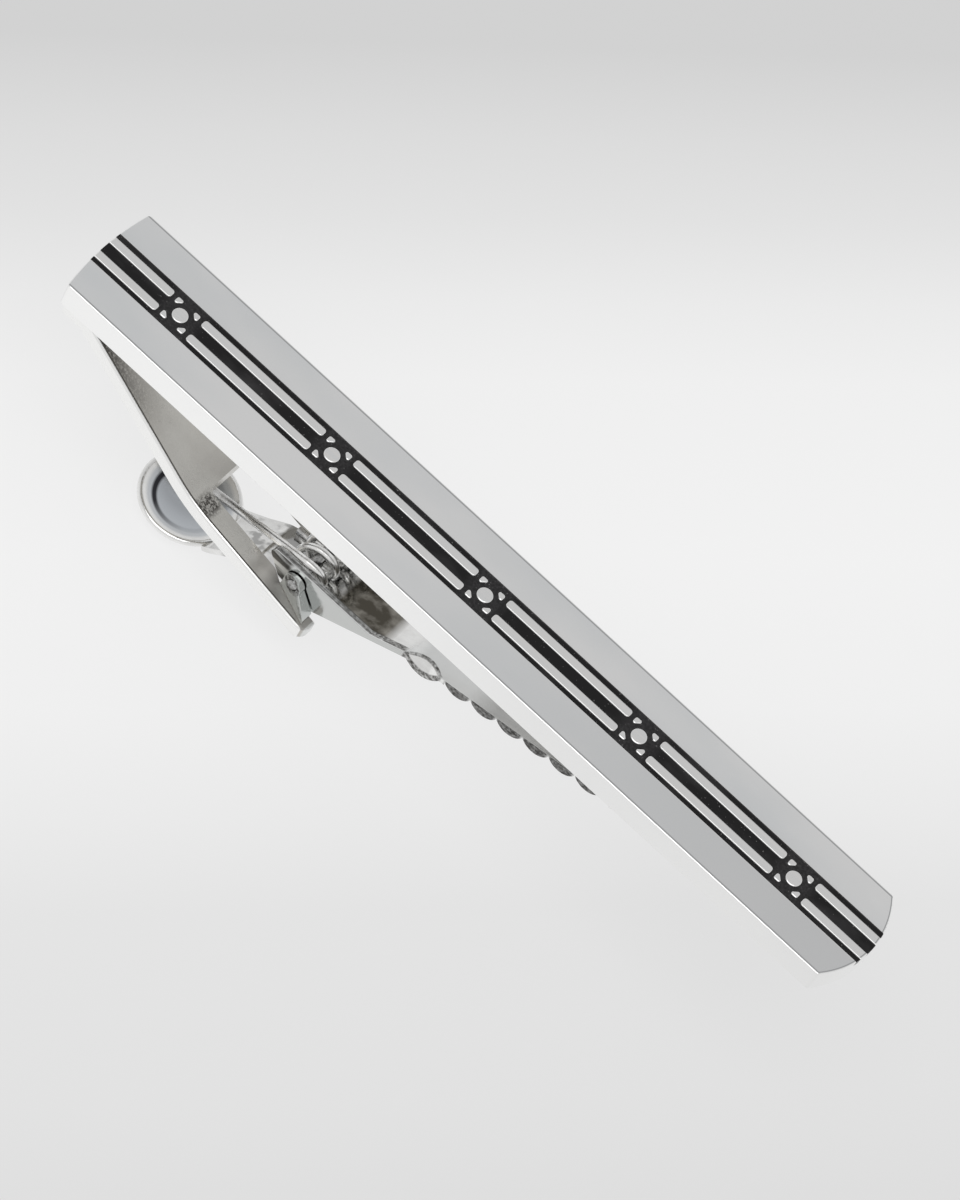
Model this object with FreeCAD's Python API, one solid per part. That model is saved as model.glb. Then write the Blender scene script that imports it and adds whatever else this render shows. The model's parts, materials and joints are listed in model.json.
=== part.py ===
import FreeCAD, Part
import math
import os

# Tie clip: an enamelled bar with a sprung jaw hinged on an arm behind it.
# X runs along the bar, Y across it, +Z out of its front face.
# The origin is the middle of the bar's back face. Lengths are in millimetres.

Vec = FreeCAD.Vector

# Shared by all cuts
overrun = 1.0

# Bar
bar_length = 55.0
bar_width = 6.8
bar_thickness = 1.8
left_end_bulge = 0.3
right_end_bulge = 1.15
bar_corner_round = 0.25
bar_edge_round = 0.07

# Ornament band along the middle of the front face
band_width = 2.46
band_depth = 0.45
enamel_recess = 0.05
dot_count = 5
dot_pitch = 11.0
dot_radius = 0.47
slat_width = 0.56
slat_gap = 0.72
slat_start = 1.1
slat_end_round = 0.2
petal_near_offset = 0.23
petal_far_offset = 0.83
petal_corner_round = 0.12
ornament_edge_round = 0.07

# Arm, a bent plate soldered to the back of the bar
arm_width = 6.3
arm_thickness = 1.0
arm_foot_inset = 0.6
arm_foot_length = 1.55
arm_slope_run = 9.85
arm_slope_drop = 6.15
arm_end_run = 8.95
arm_end_drop = 2.15
arm_root_bend = 1.6
arm_knee_bend = 9.0
arm_tip_round = 0.7
arm_edge_round = 0.16

# Slot in the arm that the lever's tail passes through, open at the arm's tip
slot_to_pin = 6.75
slot_width = 3.56
slot_widening_to_pin = 1.45
slot_widening_run = 0.7
slot_corner_round = 0.3

# Hinge pin and the two lugs of the arm that hold it
pin_to_arm_tip = 2.1
pin_above_arm = 1.2
pin_radius = 0.36
pin_proud = 0.06
pin_end_round = 0.1
pin_running_clearance = 0.05
lug_radius = 0.66
lug_side_gap = 0.08
lug_root_thickness = 0.06
lug_tip_thickness = 0.75
lug_left_to_pin = 0.68
lug_tip_inset = 0.45
lug_tip_height = 0.4

# Jaw lever, one stamping: thumb pad, neck, tail, channel and jaw
sheet = 0.4
tail_width = 3.24
tail_droop = 0.3
tail_end_to_pin = 2.55
tail_bend = 2.0
neck_run = 0.3
neck_bend = 1.4
neck_overlap = 0.5
neck_flare_width = 3.6
neck_flare_run = 1.65
shoulder_to_pin = 0.25
shoulder_run = 0.6
channel_width = 4.1
channel_bend_from_pin = 0.3
channel_bend = 1.5
channel_run = 7.4
channel_rise = 2.264
side_left_to_pin = 2.38
side_left_lean = 1.3
side_top_over_pin = 0.985
side_corner_round = 0.35
side_over_arm = 0.2
side_foot_to_pin = 0.55
side_foot_from_pin = 0.15
jaw_reach = 27.65
jaw_tip_width = 3.9
jaw_tip_round = 0.9
jaw_tip_gap = 0.05
jaw_bend = 4.0
pad_radius = 2.85
pad_dish = 0.8
pad_to_pin = 8.0
pad_rim_under_pin = 4.0
pad_rim_round = 0.18

# Pocket pressed into both edges of the jaw, and the row of round teeth behind it
pocket_from_bend = 0.9
pocket_radius = 1.94
pocket_depth = 0.75
pocket_fade = 0.5
pocket_wall = 0.15
pocket_span = 2.6
tooth_from_bend = 3.27
tooth_pitch = 1.758
tooth_depth = 0.7
tooth_root_depth = 0.12
tooth_thickness = 0.3
tooth_overlap = 0.05
tooth_to_tip = 1.45

# Torsion spring round the hinge pin
wire = 0.48
coil_mean_radius = 1.1
coil_pitch = 1.06
coil_whole_turns = 2
coil_side_clearance = 0.06
coil_to_web = 0.08
arm_leg_under_arm = 0.06
arm_leg_past_slot = 0.45
arm_leg_inset = 0.6
tail_leg_end_to_pin = 2.2
leg_to_tail = 0.05
quarter_count = 4
arc_count = 2
point_count = 12


def box_between(low, high):
    """A block between two opposite corners."""
    size = high.sub(low)
    return Part.makeBox(size.x, size.y, size.z, low)


def polygon_face(points):
    """A flat face with straight sides through the points."""
    return Part.Face(Part.makePolygon(points + [points[0]]))


def mirrored(shape):
    """The same shape on the far side of the bar's middle plane."""
    return shape.mirror(Vec(0, 0, 0), Vec(0, 1, 0))


def rounded(shape, radius, wanted):
    """The shape with the edges that the test picks rounded off."""
    return shape.makeFillet(radius, [edge for edge in shape.Edges if wanted(edge)])


def side_line(start, end, offset):
    """A point of the line from start to end moved to its right, and its direction."""
    direction = end.sub(start).normalize()
    right = Vec(direction.z, 0, -direction.x)
    return start.add(right.multiply(offset)), direction


def crossing(line_a, line_b):
    """The point where two lines in the XZ plane meet."""
    (a, u), (b, v) = line_a, line_b
    gap = b.sub(a)
    share = (gap.x * v.z - gap.z * v.x) / (u.x * v.z - u.z * v.x)
    return a.add(Vec(u).multiply(share))


def bent_side(points, bends, offset):
    """Edges along the points with a round bend at each corner, moved right by the offset."""
    lines = [side_line(a, b, offset) for a, b in zip(points, points[1:])]
    corners = [crossing(a, b) for a, b in zip(lines, lines[1:])]
    last_start, last_way = lines[-1]
    last = last_start.add(Vec(last_way).multiply(points[-1].sub(points[-2]).Length))
    edges = []
    here = lines[0][0]
    for corner, bend, (_, before), (_, after) in zip(corners, bends, lines, lines[1:]):
        turns_right = before.x * after.z - before.z * after.x < 0
        radius = bend - offset if turns_right else bend + offset
        half_turn = before.getAngle(after) / 2
        back = radius * math.tan(half_turn)
        start = corner.sub(Vec(before).multiply(back))
        end = corner.add(Vec(after).multiply(back))
        inward = start.add(end).multiply(1 / 2).sub(corner).normalize()
        middle = corner.add(inward.multiply(radius / math.cos(half_turn) - radius))
        edges.append(Part.LineSegment(here, start).toShape())
        edges.append(Part.Arc(start, middle, end).toShape())
        here = end
    edges.append(Part.LineSegment(here, last).toShape())
    return edges


def bent_plate(points, bends, thickness, width):
    """A plate whose upper face follows the points, bent at each corner, centred across."""
    upper = bent_side(points, bends, 0)
    lower = bent_side(points, bends, thickness)
    first_end = Part.LineSegment(upper[0].Vertexes[0].Point, lower[0].Vertexes[0].Point)
    last_end = Part.LineSegment(upper[-1].Vertexes[-1].Point, lower[-1].Vertexes[-1].Point)
    wire_edges = upper + lower + [first_end.toShape(), last_end.toShape()]
    face = Part.Face(Part.Wire(Part.__sortEdges__(wire_edges)))
    face.translate(Vec(0, -width / 2, 0))
    return face.extrude(Vec(0, width, 0))


# Places that several pieces share
bar_left = -bar_length / 2
bar_right = bar_length / 2
bar_front = bar_thickness
half_bar = bar_width / 2
half_arm = arm_width / 2
half_channel = channel_width / 2

arm_points = [Vec(bar_left + arm_foot_inset, 0, 0)]
for run, drop in (
    (arm_foot_length, 0),
    (arm_slope_run, arm_slope_drop),
    (arm_end_run, arm_end_drop),
):
    arm_points.append(arm_points[-1].add(Vec(run, 0, -drop)))
arm_tip = arm_points[-1]
arm_end_slope = arm_end_drop / arm_end_run


def arm_top(x):
    """Height of the upper face of the arm's end."""
    return arm_tip.z + (arm_tip.x - x) * arm_end_slope


pin_x = arm_tip.x - pin_to_arm_tip
pin_z = arm_top(pin_x) + pin_above_arm
slot_left = pin_x - slot_to_pin
coil_outer_radius = coil_mean_radius + wire / 2
web_top = pin_z - coil_outer_radius - coil_to_web
tail_end_x = pin_x - tail_end_to_pin
tail_top = web_top - tail_droop
pad_x = pin_x - pad_to_pin
pad_rim_z = pin_z - pad_rim_under_pin


# Bar: block with bulged ends, a groove for the band and raised ornaments
def bar_block():
    left_corner = bar_left + left_end_bulge
    right_corner = bar_right - right_end_bulge
    near_left = Vec(left_corner, -half_bar, 0)
    far_left = Vec(left_corner, half_bar, 0)
    near_right = Vec(right_corner, -half_bar, 0)
    far_right = Vec(right_corner, half_bar, 0)
    outline = Part.Wire([
        Part.LineSegment(near_left, near_right).toShape(),
        Part.Arc(near_right, Vec(bar_right, 0, 0), far_right).toShape(),
        Part.LineSegment(far_right, far_left).toShape(),
        Part.Arc(far_left, Vec(bar_left, 0, 0), near_left).toShape(),
    ])
    block = Part.Face(outline).extrude(Vec(0, 0, bar_thickness))
    block = rounded(block, bar_corner_round, lambda edge: edge.BoundBox.ZLength > bar_thickness / 2)
    return rounded(block, bar_edge_round, lambda edge: edge.BoundBox.ZLength < bar_thickness / 2)


def ornament(face):
    """A raised ornament: sharp for the enamel's wall, and with its rim rounded for the bar."""
    face.translate(Vec(0, 0, bar_front - band_depth))
    sharp = face.extrude(Vec(0, 0, band_depth))
    on_top = bar_front - ornament_edge_round
    soft = rounded(sharp, ornament_edge_round, lambda edge: edge.BoundBox.ZMin > on_top)
    return sharp, soft


def dot_face(x):
    return Part.Face(Part.Wire(Part.makeCircle(dot_radius, Vec(x, 0, 0))))


def petal_face(x, side_x, side_y):
    far = Vec(x + side_x * petal_far_offset, side_y * petal_far_offset, 0)
    points = [far, Vec(x + side_x * petal_near_offset, far.y, 0), Vec(far.x, side_y * petal_near_offset, 0)]
    return flat_rounded(points, petal_corner_round)


def slat_face(start, end, side_y):
    inner = side_y * slat_gap / 2
    outer = inner + side_y * slat_width
    points = [Vec(start, inner, 0), Vec(end, inner, 0), Vec(end, outer, 0), Vec(start, outer, 0)]
    return flat_rounded(points, slat_end_round)


def flat_rounded(points, radius):
    """A flat face through the points with its corners rounded."""
    prism = polygon_face(points).extrude(Vec(0, 0, overrun))
    prism = rounded(prism, radius, lambda edge: edge.BoundBox.ZLength > overrun / 2)
    return min(prism.Faces, key=lambda face: face.CenterOfMass.z)


dot_places = [(index - (dot_count - 1) / 2) * dot_pitch for index in range(dot_count)]
slat_ends = [bar_left - overrun - slat_start] + dot_places + [bar_right + overrun + slat_start]
ornaments = []
for dot_x in dot_places:
    ornaments.append(ornament(dot_face(dot_x)))
    for side_x in (-1, 1):
        for side_y in (-1, 1):
            ornaments.append(ornament(petal_face(dot_x, side_x, side_y)))
for left, right in zip(slat_ends, slat_ends[1:]):
    for side_y in (-1, 1):
        ornaments.append(ornament(slat_face(left + slat_start, right - slat_start, side_y)))

block = bar_block()
groove = box_between(
    Vec(bar_left - overrun, -band_width / 2, bar_front - band_depth),
    Vec(bar_right + overrun, band_width / 2, bar_front + overrun),
)
raised = [soft.common(block) for _, soft in ornaments]
bar = block.cut(groove).fuse(raised).removeSplitter()

# Enamel: fills the groove round the ornaments, a little below their tops
enamel = groove.common(block).cut([sharp for sharp, _ in ornaments])
enamel_lid = box_between(
    Vec(bar_left - overrun, -half_bar, bar_front - enamel_recess),
    Vec(bar_right + overrun, half_bar, bar_front + overrun),
)
enamel = enamel.cut(enamel_lid)


# Arm: bent plate with an open slot, and two lugs that hold the pin
lug_left = pin_x - lug_left_to_pin
lug_right = arm_tip.x - lug_tip_inset
lug_inner = half_channel + lug_side_gap


def lug_outer(x):
    """How far from the middle the flared outside of a lug lies."""
    thickening = (lug_tip_thickness - lug_root_thickness) / (lug_right - lug_left)
    return lug_inner + lug_root_thickness + (x - lug_left) * thickening


def arm_lug():
    """The lug on the far side, flat inside and flared outside."""
    sunk = arm_thickness / 2
    low = arm_top(lug_right) - sunk
    cheek = polygon_face([
        Vec(lug_left, 0, arm_top(lug_left) - sunk),
        Vec(lug_left, 0, arm_top(lug_left)),
        Vec(pin_x - lug_radius, 0, pin_z),
        Vec(pin_x + lug_radius, 0, pin_z),
        Vec(lug_right, 0, arm_top(lug_right) + lug_tip_height),
        Vec(lug_right, 0, low),
    ])
    crown = Part.Face(Part.Wire(Part.makeCircle(lug_radius, Vec(pin_x, 0, pin_z), Vec(0, 1, 0))))
    upright = cheek.fuse(crown).removeSplitter().extrude(Vec(0, half_bar, 0))
    flare = polygon_face([
        Vec(lug_left, lug_inner, low),
        Vec(lug_right, lug_inner, low),
        Vec(lug_right, lug_outer(lug_right), low),
        Vec(lug_left, lug_outer(lug_left), low),
    ]).extrude(Vec(0, 0, pin_z + lug_radius - low))
    return upright.common(flare)


def arm_outline():
    """The arm seen from above, with its tip corners rounded."""
    low = Vec(arm_points[0].x, -half_arm, arm_tip.z - arm_thickness - overrun)
    prism = box_between(low, Vec(arm_tip.x, half_arm, 0))
    return rounded(
        prism,
        arm_tip_round,
        lambda edge: edge.BoundBox.XMin > pin_x and edge.BoundBox.YLength < arm_tip_round
        and edge.BoundBox.XLength < arm_tip_round,
    )


def is_arm_rim(edge):
    """True for the edges round the plate's outer rim, and not for those of its foot's end."""
    box = edge.BoundBox
    on_side = box.YMin > half_arm - arm_tip_round or box.YMax < arm_tip_round - half_arm
    on_tip = box.XMin > arm_tip.x - arm_tip_round
    across_thickness = box.ZLength > arm_thickness / 2 and box.XLength < arm_thickness / 2
    return (on_side or on_tip) and not across_thickness


plate_end = arm_tip.add(Vec(arm_thickness, 0, -arm_thickness * arm_end_slope))
arm_bends = [arm_root_bend, arm_knee_bend]
plate = bent_plate(arm_points[:-1] + [plate_end], arm_bends, arm_thickness, arm_width)
plate = rounded(plate.common(arm_outline()), arm_edge_round, is_arm_rim)


def arm_slot():
    """The slot seen from above: parallel sides that widen to the lugs and run out at the tip."""
    widening = pin_x - slot_widening_to_pin
    half_side = [
        Vec(slot_left, slot_width / 2, 0),
        Vec(widening, slot_width / 2, 0),
        Vec(widening + slot_widening_run, lug_inner, 0),
        Vec(arm_tip.x + overrun, lug_inner, 0),
    ]
    other_side = [Vec(point.x, -point.y, 0) for point in reversed(half_side)]
    low = arm_tip.z - arm_thickness - overrun
    face = polygon_face(half_side + other_side)
    face.translate(Vec(0, 0, low))
    prism = face.extrude(Vec(0, 0, -low))
    return rounded(
        prism,
        slot_corner_round,
        lambda edge: edge.BoundBox.XMax < slot_left + slot_corner_round
        and edge.BoundBox.ZLength > arm_thickness,
    )


pin_hole = Part.makeCylinder(pin_radius, bar_width, Vec(pin_x, -half_bar, pin_z), Vec(0, 1, 0))
lug = arm_lug()
arm = plate.cut(arm_slot()).fuse([lug, mirrored(lug)]).cut(pin_hole).removeSplitter()


# Hinge pin: a plain pin pressed through the lugs, rounded at both ends
pin_half_length = lug_outer(pin_x) + pin_proud
pin = Part.makeCylinder(pin_radius, 2 * pin_half_length, Vec(pin_x, -pin_half_length, pin_z), Vec(0, 1, 0))
pin = rounded(pin, pin_end_round, lambda edge: edge.BoundBox.YLength < pin_end_round)

# Jaw lever: bent sheet trimmed to its outline, with channel sides, thumb pad and teeth
dish_radius = (pad_radius**2 + pad_dish**2) / (2 * pad_dish)
dish_centre = Vec(pad_x, 0, pad_rim_z - pad_dish + dish_radius)


def dish_point(radius, reach):
    """A point of a dish of the given radius, at a reach from its axis."""
    return dish_centre.add(Vec(reach, 0, -math.sqrt(radius**2 - reach**2)))


neck_foot = dish_point(dish_radius, pad_radius - neck_overlap)
neck_slope = (neck_foot.x - pad_x) / (dish_centre.z - neck_foot.z)
neck_end = neck_foot.add(Vec(neck_run, 0, neck_run * neck_slope))
tail_end = Vec(tail_end_x, 0, tail_top)
web_bend = Vec(pin_x + channel_bend_from_pin, 0, web_top)
channel_end = Vec(pin_x + channel_run, 0, pin_z + channel_rise)
jaw_tip = Vec(pin_x + jaw_reach, 0, -jaw_tip_gap)
lever_points = [neck_foot, neck_end, tail_end, web_bend, channel_end, jaw_tip]
lever_bends = [neck_bend, tail_bend, channel_bend, jaw_bend]


def lever_outline():
    """The lever seen from above, from the neck to the tip of the jaw."""
    shoulder = pin_x - shoulder_to_pin
    start = neck_foot.x - sheet
    half_side = [
        Vec(start, neck_flare_width / 2, 0),
        Vec(neck_foot.x, neck_flare_width / 2, 0),
        Vec(neck_foot.x + neck_flare_run, tail_width / 2, 0),
        Vec(shoulder, tail_width / 2, 0),
        Vec(shoulder + shoulder_run, half_channel, 0),
        Vec(channel_end.x, half_channel, 0),
        Vec(jaw_tip.x, jaw_tip_width / 2, 0),
    ]
    other_side = [Vec(point.x, -point.y, 0) for point in reversed(half_side)]
    face = polygon_face(half_side + other_side)
    low = pad_rim_z - pad_dish - overrun
    face.translate(Vec(0, 0, low))
    prism = face.extrude(Vec(0, 0, overrun - low))
    return rounded(
        prism,
        jaw_tip_round,
        lambda edge: edge.BoundBox.XMin > channel_end.x and edge.BoundBox.XLength < sheet
        and edge.BoundBox.YLength < sheet,
    )


def channel_sides():
    """The two upright sides of the channel: level on top, leaning in to the arm on the left."""
    under = sheet / 2
    left = pin_x - side_left_to_pin
    left_foot = left + side_left_lean
    top = pin_z + side_top_over_pin
    foot_x = pin_x - side_foot_to_pin
    web_slope = (channel_end.z - web_bend.z) / (channel_end.x - web_bend.x)
    end_x = web_bend.x + (top - web_bend.z) / web_slope
    cheek = polygon_face([
        Vec(left_foot, 0, arm_top(left_foot) + side_over_arm),
        Vec(left, 0, top),
        Vec(end_x, 0, top),
        Vec(end_x, 0, top - under),
        Vec(web_bend.x, 0, web_top - under),
        Vec(pin_x + side_foot_from_pin, 0, web_top - under),
        Vec(foot_x, 0, arm_top(foot_x) + side_over_arm),
    ])
    cheek.translate(Vec(0, half_channel - sheet, 0))
    side = cheek.extrude(Vec(0, sheet, 0))
    side = rounded(
        side,
        side_corner_round,
        lambda edge: edge.BoundBox.XMax < left + under and edge.BoundBox.ZMin > top - under,
    )
    return [side, mirrored(side)]


def thumb_pad():
    """The dished disc, hollow towards the bar, with a rounded rim."""
    outer_radius = dish_radius + sheet
    rim_out = pad_radius * outer_radius / dish_radius
    half_share = math.asin(pad_radius / dish_radius) / 2
    inner_half = dish_radius * math.sin(half_share)
    outer_half = outer_radius * math.sin(half_share)
    bottom_in = dish_point(dish_radius, 0)
    bottom_out = dish_point(outer_radius, 0)
    rim_in_point = dish_point(dish_radius, pad_radius)
    rim_out_point = dish_point(outer_radius, rim_out)
    outline = Part.Wire([
        Part.Arc(bottom_in, dish_point(dish_radius, inner_half), rim_in_point).toShape(),
        Part.LineSegment(rim_in_point, rim_out_point).toShape(),
        Part.Arc(rim_out_point, dish_point(outer_radius, outer_half), bottom_out).toShape(),
        Part.LineSegment(bottom_out, bottom_in).toShape(),
    ])
    disc = Part.Face(outline).revolve(dish_centre, Vec(0, 0, 1), 360)
    return rounded(
        disc,
        pad_rim_round,
        lambda edge: edge.BoundBox.XLength > pad_radius and edge.BoundBox.ZLength < sheet / 2,
    )


jaw_way = jaw_tip.sub(channel_end).normalize()
jaw_up = Vec(-jaw_way.z, 0, jaw_way.x)
jaw_length = jaw_tip.sub(channel_end).Length


def jaw_half_width(along):
    """Half the jaw's width at a distance along it."""
    return half_channel + (jaw_tip_width / 2 - half_channel) * along / jaw_length


def flute(along, radius, depth, fade, wall):
    """A round trough that falls towards the far edge and runs out of it, grown by a wall."""
    on_edge = channel_end.add(Vec(jaw_way).multiply(along)).add(Vec(0, jaw_half_width(along), 0))
    fall = Vec(0, fade, 0).sub(Vec(jaw_up).multiply(depth))
    out = Vec(0, depth, 0).add(Vec(jaw_up).multiply(fade)).normalize()
    edge_bottom = on_edge.sub(Vec(jaw_up).multiply(depth))
    start = edge_bottom.add(out.multiply(radius)).sub(fall).sub(fall).sub(fall)
    return Part.makeCylinder(radius + wall, 4 * fall.Length + overrun, start, Vec(fall).normalize())


def tooth_places():
    """Distances along the jaw of the middles of its teeth."""
    count = math.floor((jaw_length - tooth_to_tip - tooth_from_bend) / tooth_pitch) + 1
    return [tooth_from_bend + index * tooth_pitch for index in range(count)]


def on_jaw(along, depth):
    """A point at a distance along the jaw and a depth under its face."""
    return channel_end.add(Vec(jaw_way).multiply(along)).sub(Vec(jaw_up).multiply(depth))


def tooth_row():
    """A strip under the far edge of the jaw, and the round scallops that cut it into teeth."""
    places = tooth_places()
    half_pitch = tooth_pitch / 2
    first = places[0] - half_pitch
    last = places[-1] + half_pitch
    strip_depth = tooth_depth + sheet
    inner = jaw_tip_width / 2 - tooth_thickness
    strip = polygon_face([
        on_jaw(first + tooth_overlap, sheet - tooth_overlap),
        on_jaw(last - tooth_overlap, sheet - tooth_overlap),
        on_jaw(last - tooth_overlap, strip_depth),
        on_jaw(first + tooth_overlap, strip_depth),
    ])
    strip.translate(Vec(0, inner, 0))
    sides = []
    for place in places:
        root_before = on_jaw(place - half_pitch, tooth_root_depth)
        root_after = on_jaw(place + half_pitch, tooth_root_depth)
        sides.append(Part.Arc(root_before, on_jaw(place, tooth_depth), root_after).toShape())
    corners = [
        on_jaw(last, tooth_root_depth),
        on_jaw(last, strip_depth + overrun),
        on_jaw(first, strip_depth + overrun),
        on_jaw(first, tooth_root_depth),
    ]
    for start, end in zip(corners, corners[1:]):
        sides.append(Part.LineSegment(start, end).toShape())
    scallops = Part.Face(Part.Wire(sides))
    scallops.translate(Vec(0, inner - tooth_overlap, 0))
    return strip.extrude(Vec(0, half_bar, 0)), scallops.extrude(Vec(0, half_bar, 0))


outline = lever_outline()
under_jaw = bent_plate(lever_points[-3:], lever_bends[-1:], sheet + pocket_depth, bar_width)
pocket_block = box_between(
    Vec(channel_end.x - pocket_span, -half_bar, web_top),
    Vec(channel_end.x + pocket_span, half_bar, 0),
)
pocket_sizes = (pocket_from_bend, pocket_radius, pocket_depth, pocket_fade)
pocket_shell = flute(*pocket_sizes, pocket_wall).common(under_jaw).common(outline).common(pocket_block)
pocket = flute(*pocket_sizes, 0)
tooth_strip, scallops = tooth_row()
tooth_strip = tooth_strip.common(outline)
edge_pieces = [pocket_shell, mirrored(pocket_shell), tooth_strip, mirrored(tooth_strip)]
edge_cuts = [pocket, mirrored(pocket), scallops, mirrored(scallops)]

lever = bent_plate(lever_points, lever_bends, sheet, bar_width).common(outline)
lever = lever.fuse(channel_sides() + edge_pieces).cut(edge_cuts).fuse(thumb_pad())
running_hole = Part.makeCylinder(
    pin_radius + pin_running_clearance, bar_width, Vec(pin_x, -half_bar, pin_z), Vec(0, 1, 0)
)
lever = lever.cut(running_hole).removeSplitter()


# Torsion spring: one leg passes under the arm at the slot's end, the other lies on the lever's tail
def on_coil(angle, y):
    return Vec(pin_x + coil_mean_radius * math.cos(angle), y, pin_z + coil_mean_radius * math.sin(angle))


def leg_angle(end, side):
    """Angle round the coil where a straight leg to the end touches it."""
    reach = math.hypot(end.x - pin_x, end.z - pin_z)
    return math.atan2(end.z - pin_z, end.x - pin_x) + side * math.acos(coil_mean_radius / reach)


def arc_from(start, way, end):
    """A round arc that leaves the start along a direction and stops at the end."""
    chord = end.sub(start)
    turn = way.getAngle(chord)
    across = Vec(way).sub(Vec(chord).multiply(way.dot(chord) / chord.dot(chord))).normalize()
    middle = start.add(end).multiply(1 / 2)
    bulge = chord.Length / 2 * math.tan(turn / 2)
    return Part.Arc(start, middle.add(across.multiply(bulge)), end).toShape()


def two_arcs(start, start_way, end, end_way):
    """Two arcs in one smooth run from a start to an end with the given directions."""
    gap = end.sub(start)
    both = start_way.add(end_way)
    spread = 2 * (1 - start_way.dot(end_way))
    ahead = (math.sqrt(gap.dot(both) ** 2 + spread * gap.dot(gap)) - gap.dot(both)) / spread
    before = start.add(Vec(start_way).multiply(ahead))
    after = end.sub(Vec(end_way).multiply(ahead))
    joint = before.add(after).multiply(1 / 2)
    middle_way = after.sub(before).normalize()
    return [arc_from(start, start_way, joint), arc_from(joint, middle_way, end)]


arm_under_slot = arm_top(slot_left) - arm_thickness * math.hypot(1, arm_end_slope)
coil_start_y = -(half_channel - sheet - coil_side_clearance - wire / 2)
leg_pass = Vec(slot_left, coil_start_y, arm_under_slot - arm_leg_under_arm - wire / 2)
tail_leg_x = pin_x - tail_leg_end_to_pin
tail_share = (tail_leg_x - tail_end.x) / (web_bend.x - tail_end.x)
tail_leg_z = tail_top + tail_droop * tail_share + wire / 2 + leg_to_tail
first_angle = leg_angle(leg_pass, -1) + 2 * math.pi
last_angle = leg_angle(Vec(tail_leg_x, 0, tail_leg_z), 1)
while first_angle - last_angle < 2 * math.pi * coil_whole_turns:
    last_angle -= 2 * math.pi
coil_turn = first_angle - last_angle
coil_steps = math.ceil(coil_turn / (2 * math.pi) * quarter_count)
coil_end_y = coil_start_y + coil_pitch * coil_turn / (2 * math.pi)
tail_leg_end = Vec(tail_leg_x, coil_end_y, tail_leg_z)

coil_points = []
coil_ways = []
for step in range(coil_steps + 1):
    turned = coil_turn * step / coil_steps
    angle = first_angle - turned
    coil_points.append(on_coil(angle, coil_start_y + coil_pitch * turned / (2 * math.pi)))
    round_way = Vec(math.sin(angle), 0, -math.cos(angle)).multiply(coil_mean_radius)
    coil_ways.append(round_way.add(Vec(0, coil_pitch / (2 * math.pi), 0)).normalize())
leg_way = leg_pass.sub(coil_points[0])
leg_past = Vec(leg_way).normalize().multiply(arm_leg_past_slot)
arm_leg_end = leg_pass.add(leg_past).add(Vec(0, arm_leg_inset, 0))
coil_ways[0] = coil_points[0].sub(arm_leg_end).normalize()
coil_ways[-1] = tail_leg_end.sub(coil_points[-1]).normalize()
spring_path = [Part.LineSegment(arm_leg_end, coil_points[0]).toShape()]
for step in range(coil_steps):
    spring_path += two_arcs(
        coil_points[step], coil_ways[step], coil_points[step + 1], coil_ways[step + 1]
    )
spring_path.append(Part.LineSegment(coil_points[-1], tail_leg_end).toShape())
spring_wire = Part.Wire(spring_path)
section = Part.Wire(Part.makeCircle(wire / 2, arm_leg_end, coil_ways[0]))
spring = spring_wire.makePipeShell([section], True, False)

samples = []
for edge in spring_wire.OrderedEdges:
    span = edge.LastParameter - edge.FirstParameter
    for index in range(point_count):
        samples.append(edge.valueAt(edge.FirstParameter + span * index / point_count))
half_turn_points = quarter_count // 2 * arc_count * point_count
least_gap = min(
    a.distanceToPoint(b) - wire
    for index, a in enumerate(samples) for b in samples[index + half_turn_points:]
)
print("spring: least gap to itself", round(least_gap, 3), "mm")
print("spring: volume over section times length",
      round(spring.Volume / (math.pi * wire**2 / 4 * spring_wire.Length), 4))

pieces = {
    "bar": bar,
    "enamel_inlay": enamel,
    "clip_arm": arm,
    "hinge_pin": pin,
    "jaw_lever": lever,
    "torsion_spring": spring,
}
os.makedirs("parts", exist_ok=True)
for name, shape in pieces.items():
    solid = shape.Solids[0] if len(shape.Solids) == 1 else shape
    solid.exportStep("parts/" + name + ".step")
    print(name, "solids", len(shape.Solids), "valid", shape.isValid(), "volume", round(shape.Volume, 3))
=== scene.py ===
import json
import math

import bmesh
import bpy
from mathutils import Matrix, Vector


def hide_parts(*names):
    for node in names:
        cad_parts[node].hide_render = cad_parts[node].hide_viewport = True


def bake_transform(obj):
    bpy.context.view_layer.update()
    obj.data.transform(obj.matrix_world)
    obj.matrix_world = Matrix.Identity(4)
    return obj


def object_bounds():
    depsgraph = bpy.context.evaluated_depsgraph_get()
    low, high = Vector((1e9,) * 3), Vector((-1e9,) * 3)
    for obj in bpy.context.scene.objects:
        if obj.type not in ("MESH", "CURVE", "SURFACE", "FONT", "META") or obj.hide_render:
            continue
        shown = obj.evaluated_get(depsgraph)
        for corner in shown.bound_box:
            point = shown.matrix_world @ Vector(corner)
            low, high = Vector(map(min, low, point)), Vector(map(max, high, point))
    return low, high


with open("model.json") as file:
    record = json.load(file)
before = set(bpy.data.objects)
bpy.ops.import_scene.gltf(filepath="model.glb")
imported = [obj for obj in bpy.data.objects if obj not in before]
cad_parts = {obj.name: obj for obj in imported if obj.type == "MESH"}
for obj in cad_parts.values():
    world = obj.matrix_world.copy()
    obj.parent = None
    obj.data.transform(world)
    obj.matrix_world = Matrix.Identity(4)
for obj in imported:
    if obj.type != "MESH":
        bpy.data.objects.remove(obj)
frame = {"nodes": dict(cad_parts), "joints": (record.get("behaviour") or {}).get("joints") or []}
cad_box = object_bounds()

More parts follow.
